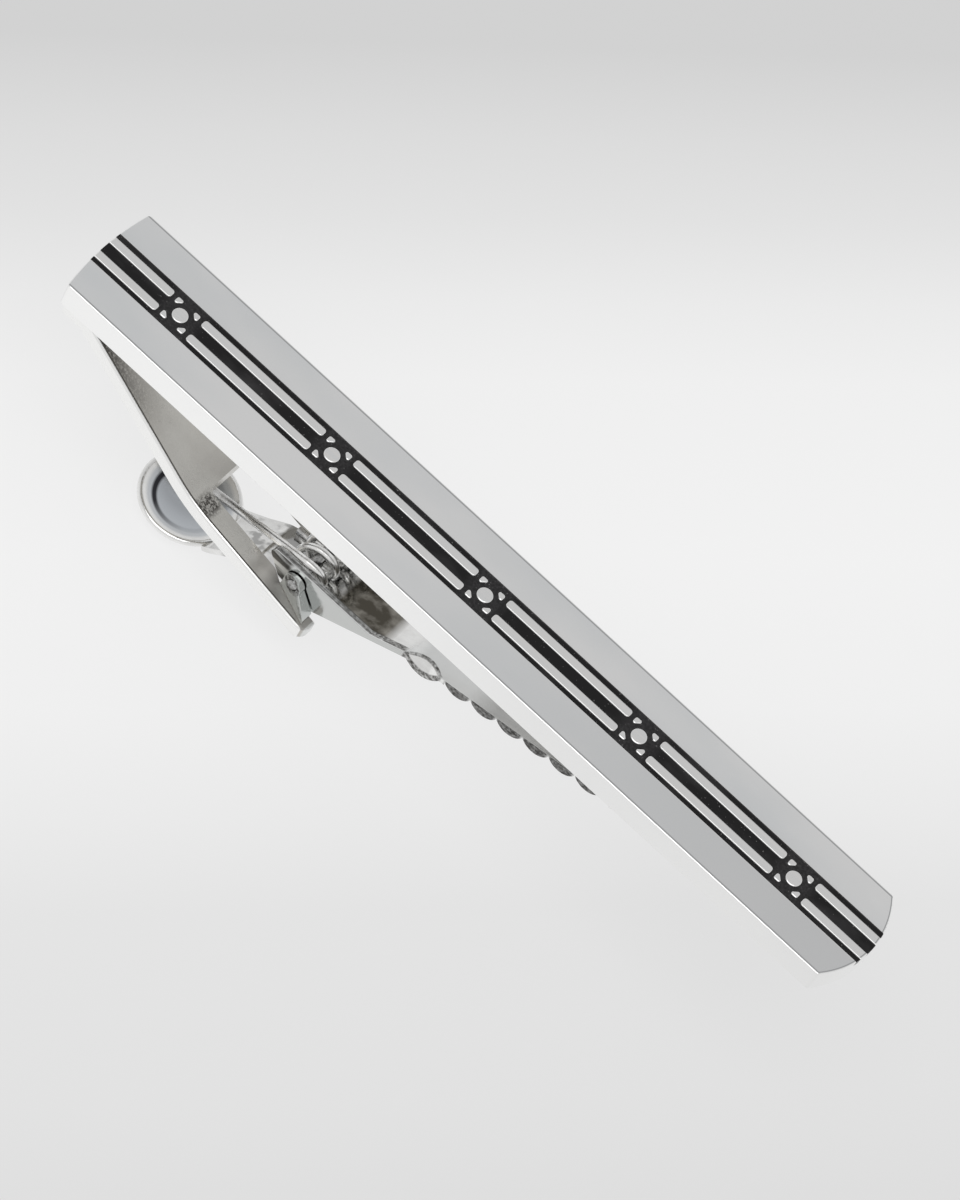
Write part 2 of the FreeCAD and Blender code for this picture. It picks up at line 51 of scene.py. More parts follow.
# The bar is a solid casting, plated and mirror polished. Its dots, petals and slats stand up from the
# bottom of a milled groove and are part of the same metal. Polishing along the bar leaves a faint grain.
PLATE_BRIGHT = (0.91, 0.91, 0.91, 1.0)
PLATE_HAZY = (0.82, 0.835, 0.845, 1.0)
PLATE_WARM = (0.90, 0.885, 0.87, 1.0)
PLATE_PAINTED_SHADE = (0.74, 0.745, 0.75, 1.0)
PLATE_SIDE_HIGHLIGHT = (0.985, 0.985, 0.98, 1.0)
PLATE_RIM_SHADE = (0.48, 0.485, 0.49, 1.0)
PLATE_SLAT_RIM = (0.62, 0.62, 0.615, 1.0)
EDGE_BLUR = 0.00006
BAND_HALF_WIDTH = 0.00123
PAINTED_SHADE_RUN = (-0.004, 0.024)
DOT_PITCH = 0.011
SLAT_START = 0.0011
SLAT_RIMS = ((0.00036, 0.00042), (0.00086, 0.00092))
SIDE_FROM_MIDDLE = 0.00336
RIM_LINE = (0.00325, 0.00331)
LEFT_END_CENTRE = -0.00808
LEFT_END_RADIUS = 0.01942
RIGHT_END_CENTRE = 0.0219
RIGHT_END_RADIUS = 0.0056
RIGHT_END_LINE = (RIGHT_END_RADIUS - 2 * EDGE_BLUR, RIGHT_END_RADIUS - 1.3 * EDGE_BLUR)
HAZE_SIZE = (0.011, 0.005, 0.006)
HAZE_SPAN = (0.38, 0.68)
POLISH_SIZE = (0.009, 0.00007, 0.00007)
POLISH_SPAN = (0.3, 0.75)
POLISH_ROUGH = (0.35, 0.8, 0.07, 0.14)
WEAR_SIZE = (0.0016, 0.0009, 0.0009)
WEAR_ROUGH = (0.55, 0.85, 0.0, 0.16)
PLATE_RELIEF = 0.0000006


def new_finish(name, metallic=0.0):
    """A new material with its node tree, its shader and the piece's own coordinates."""
    finish = bpy.data.materials.new(name)
    finish.use_nodes = True
    tree = finish.node_tree
    shader = tree.nodes["Principled BSDF"]
    shader.inputs["Metallic"].default_value = metallic
    return finish, tree, shader, tree.nodes.new("ShaderNodeTexCoord").outputs["Object"]


def axes_of(place):
    """The three values of a place: along the bar, across it and above its back."""
    tree = place.id_data
    split = tree.nodes.new("ShaderNodeSeparateXYZ")
    tree.links.new(place, split.inputs["Vector"])
    return [split.outputs[name] for name in "XYZ"]


def grain(place, size, detail=2.0, roughness=0.5):
    """Noise whose lumps have the given length, width and depth in metres."""
    tree = place.id_data
    stretch = tree.nodes.new("ShaderNodeMapping")
    stretch.inputs["Scale"].default_value = [1.0 / length for length in size]
    tree.links.new(place, stretch.inputs["Vector"])
    noise = tree.nodes.new("ShaderNodeTexNoise")
    noise.inputs["Scale"].default_value = 1.0
    noise.inputs["Detail"].default_value = detail
    noise.inputs["Roughness"].default_value = roughness
    tree.links.new(stretch.outputs["Vector"], noise.inputs["Vector"])
    return noise.outputs["Fac"]


def respan(value, start, end, to_start, to_end):
    """A value from one range to another, held at the ends."""
    tree = value.id_data
    span = tree.nodes.new("ShaderNodeMapRange")
    for name, number in zip(("From Min", "From Max", "To Min", "To Max"), (start, end, to_start, to_end)):
        span.inputs[name].default_value = number
    tree.links.new(value, span.inputs["Value"])
    return span.outputs["Result"]


def rise(value, start, end):
    """Nought up to the start, one past the end and a slope between them."""
    return respan(value, start, end, 0.0, 1.0)


def fall(value, start, end):
    """One up to the start, nought past the end and a slope between them."""
    return respan(value, start, end, 1.0, 0.0)


def combine(kind, first, *others):
    """Values added, multiplied or compared in turn; all but the first may be plain numbers."""
    tree = first.id_data
    for other in others:
        node = tree.nodes.new("ShaderNodeMath")
        node.operation = kind
        tree.links.new(first, node.inputs[0])
        if isinstance(other, float):
            node.inputs[1].default_value = other
        else:
            tree.links.new(other, node.inputs[1])
        first = node.outputs["Value"]
    return first


def within(value, low, high, blur):
    """One where a value lies between two limits and nought outside them, with soft ends."""
    return combine("MULTIPLY", rise(value, low - blur, low), fall(value, high, high + blur))


def between(share, first, second):
    """A colour between two, each a plain colour or the output of a node."""
    tree = share.id_data
    mix = tree.nodes.new("ShaderNodeMix")
    mix.data_type = "RGBA"
    tree.links.new(share, mix.inputs["Factor"])
    for name, colour in (("A", first), ("B", second)):
        socket = next(s for s in mix.inputs if s.name == name and s.type == "RGBA")
        if isinstance(colour, tuple):
            socket.default_value = colour
        else:
            tree.links.new(colour, socket)
    return next(s for s in mix.outputs if s.type == "RGBA")


def reach_of(first, second):
    """Length of the slanting line whose two legs are given."""
    squares = [combine("MULTIPLY", leg, leg) for leg in (first, second)]
    return combine("SQRT", combine("ADD", *squares), 0.0)


def relief(shader, height, depth):
    """Fine relief of a surface, given its full depth in metres."""
    tree = height.id_data
    bump = tree.nodes.new("ShaderNodeBump")
    bump.inputs["Strength"].default_value = 1.0
    bump.inputs["Distance"].default_value = depth
    tree.links.new(height, bump.inputs["Height"])
    tree.links.new(bump.outputs["Normal"], shader.inputs["Normal"])


def round_end(along, across, centre, radius, way):
    """At a round end of the bar: distance from its centre, its half of the circle and its upright side."""
    outward = combine("MULTIPLY", combine("SUBTRACT", along, centre), way)
    reach = reach_of(outward, across)
    half = rise(outward, 0.0, radius / 2)
    side = combine("MULTIPLY", rise(reach, radius - EDGE_BLUR, radius - EDGE_BLUR / 2), half)
    return reach, half, side


plate, tree, shader, place = new_finish("mirror_plate", metallic=1.0)
along, across, _ = axes_of(place)
from_middle = combine("ABSOLUTE", across, 0.0)
haze = grain(place, HAZE_SIZE, detail=3.0)
polish_lines = grain(place, POLISH_SIZE, detail=3.0)
wear = grain(place, WEAR_SIZE, detail=6.0, roughness=0.65)

# The front is hazy in patches, and painted shade makes it greyer along the near rail towards the right. The
# band is warmer, and its slats have thin grey rims.
plate_tone = between(rise(haze, *HAZE_SPAN), PLATE_BRIGHT, PLATE_HAZY)
near_rail = rise(across, -BAND_HALF_WIDTH, -BAND_HALF_WIDTH - EDGE_BLUR)
painted_rail_shade = combine("MULTIPLY", near_rail, rise(along, *PAINTED_SHADE_RUN))
plate_tone = between(painted_rail_shade, plate_tone, PLATE_PAINTED_SHADE)
band_tone = between(rise(polish_lines, *POLISH_SPAN), PLATE_WARM, PLATE_HAZY)
in_band = within(from_middle, -BAND_HALF_WIDTH, BAND_HALF_WIDTH, EDGE_BLUR)
face_tone = between(in_band, plate_tone, band_tone)
from_dot = combine("PINGPONG", along, DOT_PITCH / 2)
on_slat = rise(from_dot, SLAT_START - EDGE_BLUR, SLAT_START)
for rim in SLAT_RIMS:
    slat_rim = combine("MULTIPLY", on_slat, within(from_middle, *rim, EDGE_BLUR / 6))
    face_tone = between(slat_rim, face_tone, PLATE_SLAT_RIM)

# A thin grey line of painted shade follows the front's long edges and its right end, and the upright sides
# are painted brightest, a painted highlight.
_, _, left_side = round_end(along, across, LEFT_END_CENTRE, LEFT_END_RADIUS, -1.0)
right_reach, right_half, right_side = round_end(along, across, RIGHT_END_CENTRE, RIGHT_END_RADIUS, 1.0)
right_line = combine("MULTIPLY", within(right_reach, *RIGHT_END_LINE, EDGE_BLUR / 3), right_half)
rim_shade = combine("MAXIMUM", within(from_middle, *RIM_LINE, EDGE_BLUR / 2), right_line)
face_tone = between(rim_shade, face_tone, PLATE_RIM_SHADE)
long_side = rise(from_middle, SIDE_FROM_MIDDLE - EDGE_BLUR, SIDE_FROM_MIDDLE)
side_highlight = combine("MAXIMUM", long_side, left_side, right_side)
tree.links.new(between(side_highlight, face_tone, PLATE_SIDE_HIGHLIGHT), shader.inputs["Base Color"])
plate_rough = combine("ADD", respan(polish_lines, *POLISH_ROUGH), respan(wear, *WEAR_ROUGH))
tree.links.new(plate_rough, shader.inputs["Roughness"])
relief(shader, combine("ADD", polish_lines, wear), PLATE_RELIEF)
frame["nodes"]["bar"].material_slots[0].material = plate

# The enamel is black glass paste, fired into the groove round the raised ornaments and ground to just below
# their tops. It is glossy with a slightly wavy skin and rubbed lighter in patches; round the dots the lighter
# tone is a painted sheen, and a few pin holes are painted light as glints.
ENAMEL_BLACK = (0.006, 0.0055, 0.0060, 1.0)
ENAMEL_RUBBED_AND_SHEEN = (0.028, 0.027, 0.028, 1.0)
ENAMEL_GLINT = (0.16, 0.155, 0.155, 1.0)
ENAMEL_IOR = 1.52
ENAMEL_GLOSS = 0.22
ENAMEL_RELIEF = 0.000002
DOT_SHEEN_FIELD = (0.0009, 0.0015)
DOT_SHEEN_PITS = (0.35, 0.65, 0.3, 1.0)
CLOUD_SIZE = (0.003, 0.0012, 0.0012)
CLOUD_ROUGH = (0.35, 0.8, 0.10, 0.28)
RUB_SPAN = (0.5, 0.8)
PIT_SIZE = (0.00012, 0.00012, 0.00012)
GLINT_SPAN = (0.70, 0.76)

enamel, tree, shader, place = new_finish("black_enamel_gloss")
along, _, _ = axes_of(place)
cloud = grain(place, CLOUD_SIZE, detail=4.0)
pits = grain(place, PIT_SIZE, detail=2.0)
from_dot = combine("PINGPONG", along, DOT_PITCH / 2)
dot_sheen = combine("MULTIPLY", fall(from_dot, *DOT_SHEEN_FIELD), respan(pits, *DOT_SHEEN_PITS))
rubs_and_sheen = combine("MAXIMUM", rise(cloud, *RUB_SPAN), dot_sheen)
enamel_tone = between(rubs_and_sheen, ENAMEL_BLACK, ENAMEL_RUBBED_AND_SHEEN)
enamel_tone = between(rise(pits, *GLINT_SPAN), enamel_tone, ENAMEL_GLINT)
tree.links.new(enamel_tone, shader.inputs["Base Color"])
tree.links.new(respan(cloud, *CLOUD_ROUGH), shader.inputs["Roughness"])
shader.inputs["IOR"].default_value = ENAMEL_IOR
shader.inputs["Specular IOR Level"].default_value = ENAMEL_GLOSS
relief(shader, combine("ADD", cloud, pits), ENAMEL_RELIEF)
frame["nodes"]["enamel_inlay"].material_slots[0].material = enamel

# The arm is a strip of plated metal, bent twice and soldered by its foot to the back of the bar. Its rolled
# face is warm and duller than its polished edges, which are painted bright as a highlight, with specks of
# solder near the foot and dark specks beside the slot.
ARM_BRIGHT = (0.57, 0.555, 0.52, 1.0)
ARM_DULL = (0.48, 0.465, 0.435, 1.0)
ARM_RAIL_SHADING = (0.74, 0.72, 0.685, 1.0)
ARM_RAIL_END_SHADE = (0.42, 0.41, 0.39, 1.0)
ARM_LUG = (0.62, 0.64, 0.63, 1.0)
ARM_EDGE_HIGHLIGHT = (0.97, 0.97, 0.96, 1.0)
ARM_END_SHADE = (0.74, 0.75, 0.74, 1.0)
ARM_LINE_SHADE = (0.09, 0.085, 0.075, 1.0)
STAIN_AND_SHADE = (0.07, 0.065, 0.06, 1.0)
ARM_EDGE_FROM_MIDDLE = 0.00303
ARM_TIP = -0.00668
RAIL_FALL = 0.2402
RAIL_LEVEL = -0.0098735
RAIL_BELOW = 0.00012
RAIL_ABOVE = 0.00004
RAIL_BLUR = 0.00003
RAIL_RUN = (-0.0118, -0.0100)
RAIL_END_RUN = (-0.0103, -0.0093)
RAIL_ROUGH = 0.35
LUG_START = -0.0098
LUG_BASE = (RAIL_LEVEL + 0.00006, RAIL_LEVEL + 0.00010)
LUG_BLUR = 0.0001
PIN_SHADE_RADIUS = 0.00058
PIN_SHADE_SPECKS = (0.38, 0.60, 0.25, 1.0)
FOOT_STAIN = (-0.0240, -0.0188)
FOOT_STAIN_SIDES = (0.0014, 0.0027, 0.1, 1.0)
FOOT_STAIN_SPECKS = (0.34, 0.52, 0.35, 1.0)
SLOT_SPECK_RUN = (-0.0152, -0.0145)
SLOT_SPECK_BLUR = 0.0004
SLOT_SPECK_SIDE = (-0.0015, -0.0021)
SLOT_SPECKS = (0.39, 0.57, 0.1, 1.0)
EDGE_LINE_SHADE_SPAN = (0.00295, 0.00300)
EDGE_LINE_SHADE_END = (-0.0074, -0.0072)
ROLL_SIZE = (0.006, 0.00009, 0.00009)
ROLL_ROUGH = (0.3, 0.8, 0.16, 0.26)
PATCH_SIZE = (0.0040, 0.0024, 0.0024)
PATCH_SPAN = (0.35, 0.7)
ARM_SPECK_SIZE = (0.00030, 0.00020, 0.00020)
ARM_SPECK_ROUGH = (0.5, 0.85, 0.0, 0.15)
FINE_SPECK_SIZE = (0.00016, 0.00012, 0.00012)
ARM_RELIEF = 0.0000012

hinge = next(joint for joint in frame["joints"] if joint["name"] == "jaw_hinge")
pin_place = Vector(hinge["pos_m"])

arm_finish, tree, shader, place = new_finish("arm_plate", metallic=1.0)
along, across, above = axes_of(place)
from_middle = combine("ABSOLUTE", across, 0.0)
roll_lines = grain(place, ROLL_SIZE, detail=3.0)
patches = grain(place, PATCH_SIZE, detail=3.0)
specks = grain(place, ARM_SPECK_SIZE, detail=4.0, roughness=0.7)
fine_specks = grain(place, FINE_SPECK_SIZE, detail=3.0, roughness=0.7)
arm_tone = between(rise(patches, *PATCH_SPAN), ARM_BRIGHT, ARM_DULL)

# Towards the tip, the rails beside the slot are painted brighter and then darker, as painted light and shade,
# and the lugs on them are grey.
over_rail = combine("ADD", above, combine("MULTIPLY", along, RAIL_FALL))
on_rail = within(over_rail, RAIL_LEVEL - RAIL_BELOW, RAIL_LEVEL + RAIL_ABOVE, RAIL_BLUR)
rail_end = combine("MULTIPLY", on_rail, rise(along, *RAIL_RUN))
rail_light_and_shade = between(rise(along, *RAIL_END_RUN), ARM_RAIL_SHADING, ARM_RAIL_END_SHADE)
arm_tone = between(rail_end, arm_tone, rail_light_and_shade)
on_lug = combine("MULTIPLY", rise(over_rail, *LUG_BASE), rise(along, LUG_START, LUG_START + LUG_BLUR))
arm_tone = between(on_lug, arm_tone, ARM_LUG)

# Dark solder stains lie at the foot, dark specks lie beside the slot, and round the pin the dark specks are
# painted shade.
from_pin = reach_of(combine("SUBTRACT", along, pin_place.x), combine("SUBTRACT", above, pin_place.z))
near_pin = fall(from_pin, PIN_SHADE_RADIUS, PIN_SHADE_RADIUS + LUG_BLUR)
pin_shade = combine("MULTIPLY", on_lug, near_pin, respan(specks, *PIN_SHADE_SPECKS))
near_foot = combine("MULTIPLY", fall(along, *FOOT_STAIN), respan(from_middle, *FOOT_STAIN_SIDES))
foot_stain = combine("MULTIPLY", near_foot, respan(fine_specks, *FOOT_STAIN_SPECKS))
beside_slot = combine("MULTIPLY", within(along, *SLOT_SPECK_RUN, SLOT_SPECK_BLUR), rise(across, *SLOT_SPECK_SIDE))
slot_specks = combine("MULTIPLY", beside_slot, respan(fine_specks, *SLOT_SPECKS))
stains_and_shade = combine("MAXIMUM", foot_stain, slot_specks, pin_shade)
arm_tone = between(stains_and_shade, arm_tone, STAIN_AND_SHADE)

# A dark line of painted shade runs just inside the long edges, which are painted bright as a highlight, and
# the sheared end of the strip is painted a lighter grey as shading on its rounding.
edge_line_shade = combine("MULTIPLY", within(from_middle, *EDGE_LINE_SHADE_SPAN, EDGE_BLUR / 2), fall(along, *EDGE_LINE_SHADE_END))
arm_tone = between(edge_line_shade, arm_tone, ARM_LINE_SHADE)
arm_tone = between(rise(along, ARM_TIP - EDGE_BLUR, ARM_TIP), arm_tone, ARM_END_SHADE)
edge_highlight = rise(from_middle, ARM_EDGE_FROM_MIDDLE - EDGE_BLUR / 2, ARM_EDGE_FROM_MIDDLE)
tree.links.new(between(edge_highlight, arm_tone, ARM_EDGE_HIGHLIGHT), shader.inputs["Base Color"])
sheet_rough = combine("ADD", respan(roll_lines, *ROLL_ROUGH), respan(specks, *ARM_SPECK_ROUGH))
arm_rough = combine("ADD", sheet_rough, combine("MULTIPLY", rail_end, RAIL_ROUGH))
tree.links.new(arm_rough, shader.inputs["Roughness"])
relief(shader, combine("ADD", roll_lines, specks), ARM_RELIEF)
frame["nodes"]["clip_arm"].material_slots[0].material = arm_finish

# The hinge pin is a plain length of plated steel, pressed through the lugs. Its ends are rounded, it is
# painted dark grey as shade, and its small dents from the press are painted near black as shade.
PIN_SHADED_GREY = (0.46, 0.46, 0.455, 1.0)
PIN_DENT_SHADE = (0.08, 0.077, 0.072, 1.0)
DENT_SIZE = (0.00022, 0.00022, 0.00022)
DENT_SPAN = (0.4, 0.75)
DENT_ROUGH = (0.35, 0.8, 0.10, 0.30)
DENT_RELIEF = 0.000004

pin_finish, tree, shader, place = new_finish("rivet_plate", metallic=1.0)
dents = grain(place, DENT_SIZE, detail=4.0, roughness=0.6)
pin_shade_tone = between(rise(dents, *DENT_SPAN), PIN_SHADED_GREY, PIN_DENT_SHADE)
tree.links.new(pin_shade_tone, shader.inputs["Base Color"])
tree.links.new(respan(dents, *DENT_ROUGH), shader.inputs["Roughness"])
relief(shader, dents, DENT_RELIEF)
frame["nodes"]["hinge_pin"].material_slots[0].material = pin_finish

# The jaw lever is one stamping of thin plated sheet: thumb pad, neck, tail, channel and toothed jaw. It
# swings on the pin. The channel is painted dark inside as shade, its sheared edges are dark and rough, and
# the pad, the neck and the tail are bright.
LEVER_BRIGHT = (0.90, 0.90, 0.89, 1.0)
LEVER_DULL = (0.74, 0.735, 0.725, 1.0)
LEVER_STREAK = (0.34, 0.34, 0.335, 1.0)
LEVER_SIDE_SHADE = (0.60, 0.61, 0.60, 1.0)
LEVER_CHANNEL_SHADE = (0.075, 0.068, 0.055, 1.0)
LEVER_CHANNEL_SHADE_PALE = (0.30, 0.285, 0.255, 1.0)
LEVER_SHEARED_AND_SHADE = (0.09, 0.088, 0.082, 1.0)
LEVER_TOOTH_SHADE = (0.045, 0.044, 0.041, 1.0)
LEVER_JAW_LIGHT_SHADE = (0.70, 0.705, 0.70, 1.0)
LEVER_JAW_DEEP_SHADE = (0.48, 0.48, 0.47, 1.0)
LEVER_HOLLOW_SHADE = (0.50, 0.525, 0.555, 1.0)
LEVER_RING_SHADE = (0.035, 0.035, 0.04, 1.0)
NECK_RUN = (-0.0128, -0.0093)
NECK_BLUR = 0.0004
NECK_STREAKS = (0.50, 0.62, 0.0, 0.75)
CHANNEL_INSIDE = 0.00166
CHANNEL_OUTSIDE = 0.00203
CHANNEL_RUN = (-0.0063, -0.0031)
CHANNEL_BLUR = 0.0006
CHANNEL_TOP = -0.00575
SIDE_RUN = (-0.0112, -0.0017)
SIDE_BLUR = 0.0002
EAR_END = (-0.0094, -0.0091)
EAR_SHADE_STREAKS = (0.40, 0.52)
WALL_LINES = (0.30, 0.55, 0.5, 1.0)
WALL_SPECKS = (0.30, 0.55, 0.5, 0.95)
JAW_RUN = (-0.00125, 0.0190)
JAW_HALF_WIDTH = (0.00205, 0.00195)
JAW_HEIGHT = (-0.0043315, -0.00005)
JAW_START = (-0.0012, -0.0006)
JAW_SKIN = (0.00006, 0.00010)
JAW_DEEP_SHADE_RUN = (0.0025, 0.0043)
TOOTH_FIRST = 0.001949
TOOTH_PITCH = 0.001720
TOOTH_RUN = (0.00109, 0.0183)
TOOTH_BLUR = 0.00005
TOOTH_SIDE = (0.00003, 0.00005)
TOOTH_TOP = (0.00003, 0.00006)
TOOTH_ROOT = (0.00070, 0.00084, 1.0, 0.3)
TOOTH_SPECKS = (0.36, 0.58, 0.65, 1.0)
POCKET_MIDDLE = -0.00037
POCKET_HALF = 0.00117
POCKET_BITE = 0.00050
POCKET_RIM = (-0.00009, 0.00006)
POCKET_RIM_BLUR = 0.00003
POCKET_FOOT = (0.00006, 0.00010)
POCKET_END_SHARE = 1.1
POCKET_SPECKS = (0.38, 0.60, 0.35, 1.0)
PAD_MIDDLE = -0.01665
PAD_HOLLOW_CENTRE = -0.005919
PAD_HOLLOW_RADIUS = 0.00562
PAD_DISH = 0.00258
PAD_DISH_BLUR = 0.0002
PAD_DISH_EDGE_SHARE = 0.6
PAD_RING = (0.00190, 0.00208)
PAD_RING_BLUR = 0.00014
PAD_RING_SIDES = (0.0010, -0.0012, 0.15, 1.0)
DRAW_SIZE = (0.004, 0.00008, 0.00008)
DRAW_ROUGH = (0.3, 0.8, 0.08, 0.18)
TARNISH_SIZE = (0.0022, 0.0010, 0.0010)
TARNISH_DULL_SPAN = (0.40, 0.75)
CHANNEL_SHADE_PALE_SPAN = (0.45, 0.70)
LEVER_SPECK_SIZE = (0.00028, 0.00020, 0.00020)
LEVER_SPECK_ROUGH = (0.5, 0.85, 0.0, 0.12)
STREAK_SIZE = (0.0030, 0.0006, 0.0006)
LEVER_RELIEF = 0.0000012

lever_finish, tree, shader, place = new_finish("lever_plate", metallic=1.0)
along, across, above = axes_of(place)
from_middle = combine("ABSOLUTE", across, 0.0)
draw_lines = grain(place, DRAW_SIZE, detail=3.0)
tarnish = grain(place, TARNISH_SIZE, detail=4.0, roughness=0.6)
specks = grain(place, LEVER_SPECK_SIZE, detail=4.0, roughness=0.7)
streaks = grain(place, STREAK_SIZE, detail=2.0)
lever_tone = between(rise(tarnish, *TARNISH_DULL_SPAN), LEVER_BRIGHT, LEVER_DULL)
neck_streaks = combine("MULTIPLY", within(along, *NECK_RUN, NECK_BLUR), respan(streaks, *NECK_STREAKS))
lever_tone = between(neck_streaks, lever_tone, LEVER_STREAK)

# Inside, the channel is painted dark with paler patches between the coil and the jaw, as painted shade.
between_sides = fall(from_middle, CHANNEL_INSIDE, CHANNEL_INSIDE + EDGE_BLUR)
in_channel = combine("MULTIPLY", within(along, *CHANNEL_RUN, CHANNEL_BLUR), between_sides)
channel_shade_tone = between(rise(tarnish, *CHANNEL_SHADE_PALE_SPAN), LEVER_CHANNEL_SHADE, LEVER_CHANNEL_SHADE_PALE)
lever_tone = between(in_channel, lever_tone, channel_shade_tone)

# The channel's sides are painted a soft grey outside as shade, with streaks of painted shade beside the pin,
# and they are rough along their sheared tops.
outside = rise(from_middle, CHANNEL_OUTSIDE - EDGE_BLUR / 3, CHANNEL_OUTSIDE)
side_run = within(along, *SIDE_RUN, SIDE_BLUR)
side_face = combine("MULTIPLY", outside, side_run)
lever_tone = between(side_face, lever_tone, LEVER_SIDE_SHADE)
ear_shade = combine("MULTIPLY", side_face, fall(along, *EAR_END), rise(streaks, *EAR_SHADE_STREAKS))
on_wall = within(from_middle, CHANNEL_INSIDE, CHANNEL_OUTSIDE - EDGE_BLUR, EDGE_BLUR / 3)
at_top = rise(above, CHANNEL_TOP, CHANNEL_TOP + EDGE_BLUR)
wall_marks = combine("MULTIPLY", respan(draw_lines, *WALL_LINES), respan(specks, *WALL_SPECKS))
wall_top = combine("MULTIPLY", on_wall, at_top, side_run, wall_marks)

# The jaw's face is painted greyer than the channel, and greyer still further out, as painted shade. The outer
# side of each round tooth is painted dark as shade under a bright line, and the pocket has a dark rim.
inset = combine("SUBTRACT", respan(along, *JAW_RUN, *JAW_HALF_WIDTH), from_middle)
depth = combine("SUBTRACT", respan(along, *JAW_RUN, *JAW_HEIGHT), above)
on_jaw = combine("MULTIPLY", rise(along, *JAW_START), fall(depth, *JAW_SKIN))
jaw_shade_tone = between(rise(along, *JAW_DEEP_SHADE_RUN), LEVER_JAW_LIGHT_SHADE, LEVER_JAW_DEEP_SHADE)
lever_tone = between(on_jaw, lever_tone, jaw_shade_tone)
from_tooth = combine("PINGPONG", combine("SUBTRACT", along, TOOTH_FIRST), TOOTH_PITCH / 2)
flank_shade = combine("MULTIPLY", fall(inset, *TOOTH_SIDE), rise(depth, *TOOTH_TOP))
flank_shade = combine("MULTIPLY", flank_shade, within(along, *TOOTH_RUN, TOOTH_BLUR))
flank_shade = combine("MULTIPLY", flank_shade, respan(from_tooth, *TOOTH_ROOT), respan(specks, *TOOTH_SPECKS))
from_pocket = combine("SUBTRACT", along, POCKET_MIDDLE)
pocket_square = combine("MULTIPLY", from_pocket, from_pocket)
pocket_bite = respan(pocket_square, 0.0, POCKET_HALF**2, POCKET_BITE, 0.0)
pocket_top = within(combine("SUBTRACT", pocket_bite, inset), *POCKET_RIM, POCKET_RIM_BLUR)
pocket_rim = combine("MAXIMUM", pocket_top, fall(inset, *POCKET_FOOT))
pocket_reach = fall(pocket_square, POCKET_HALF**2, (POCKET_END_SHARE * POCKET_HALF) ** 2)
pocket_rim = combine("MULTIPLY", pocket_rim, pocket_reach, respan(specks, *POCKET_SPECKS))
sheared_and_shaded = combine("MAXIMUM", ear_shade, wall_top, pocket_rim)
lever_tone = between(sheared_and_shaded, lever_tone, LEVER_SHEARED_AND_SHADE)
lever_tone = between(flank_shade, lever_tone, LEVER_TOOTH_SHADE)

# The hollow of the thumb pad is painted greyer than its rim as shade, with a dark ring of painted shade,
# darker on one side.
from_pad = combine("SUBTRACT", along, PAD_MIDDLE)
pad_reach = reach_of(from_pad, across)
hollow_reach = reach_of(pad_reach, combine("SUBTRACT", above, PAD_HOLLOW_CENTRE))
hollow = fall(hollow_reach, PAD_HOLLOW_RADIUS, PAD_HOLLOW_RADIUS + EDGE_BLUR)
hollow_shade = combine("MULTIPLY", hollow, fall(pad_reach, PAD_DISH - PAD_DISH_BLUR, PAD_DISH))
hollow_shade = combine("MULTIPLY", hollow_shade, respan(pad_reach, PAD_RING[0], PAD_DISH, 1.0, PAD_DISH_EDGE_SHARE))
lever_tone = between(hollow_shade, lever_tone, LEVER_HOLLOW_SHADE)
pad_ring_shade = combine("MULTIPLY", hollow, within(pad_reach, *PAD_RING, PAD_RING_BLUR))
pad_ring_shade = combine("MULTIPLY", pad_ring_shade, respan(from_pad, *PAD_RING_SIDES))
lever_tone = between(pad_ring_shade, lever_tone, LEVER_RING_SHADE)
tree.links.new(lever_tone, shader.inputs["Base Color"])
lever_rough = combine("ADD", respan(draw_lines, *DRAW_ROUGH), respan(specks, *LEVER_SPECK_ROUGH))
tree.links.new(lever_rough, shader.inputs["Roughness"])
relief(shader, combine("ADD", draw_lines, specks), LEVER_RELIEF)
frame["nodes"]["jaw_lever"].material_slots[0].material = lever_finish

# The torsion spring is drawn steel wire wound round the pin. Its long leg passes under the arm at the end of
# the slot, and the short leg lies on the lever's tail. On the real clip that leg moves with the lever and the
# coil twists; here the wound spring is one fixed copy.
WIRE_BRIGHT = (0.97, 0.97, 0.96, 1.0)
WIRE_DULL = (0.70, 0.69, 0.67, 1.0)
WIRE_MARK_SIZE = (0.0004, 0.0004, 0.0004)
WIRE_MARK_SPAN = (0.35, 0.75)
WIRE_MARK_ROUGH = (0.35, 0.8, 0.22, 0.40)
WIRE_RELIEF = 0.000003
WIRE_MERGE = 0.000001
WIRE_END_ANGLE = math.radians(40.0)

wire_finish, tree, shader, place = new_finish("drawn_wire", metallic=1.0)
wire_marks = grain(place, WIRE_MARK_SIZE, detail=5.0, roughness=0.6)
wire_tone = between(rise(wire_marks, *WIRE_MARK_SPAN), WIRE_BRIGHT, WIRE_DULL)
tree.links.new(wire_tone, shader.inputs["Base Color"])
tree.links.new(respan(wire_marks, *WIRE_MARK_ROUGH), shader.inputs["Roughness"])
relief(shader, wire_marks, WIRE_RELIEF)

shape = bmesh.new()
shape.from_mesh(frame["nodes"]["torsion_spring"].data)
bmesh.ops.remove_doubles(shape, verts=shape.verts, dist=WIRE_MERGE)
wound_mesh = bpy.data.meshes.new("wound_spring")
shape.to_mesh(wound_mesh)
shape.free()
wound_mesh.shade_smooth()
wound_mesh.set_sharp_from_angle(angle=WIRE_END_ANGLE)
wound_mesh.materials.append(wire_finish)
wound_spring = bpy.data.objects.new("wound_spring", wound_mesh)
bpy.context.scene.collection.objects.link(wound_spring)
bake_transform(wound_spring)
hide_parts("torsion_spring")

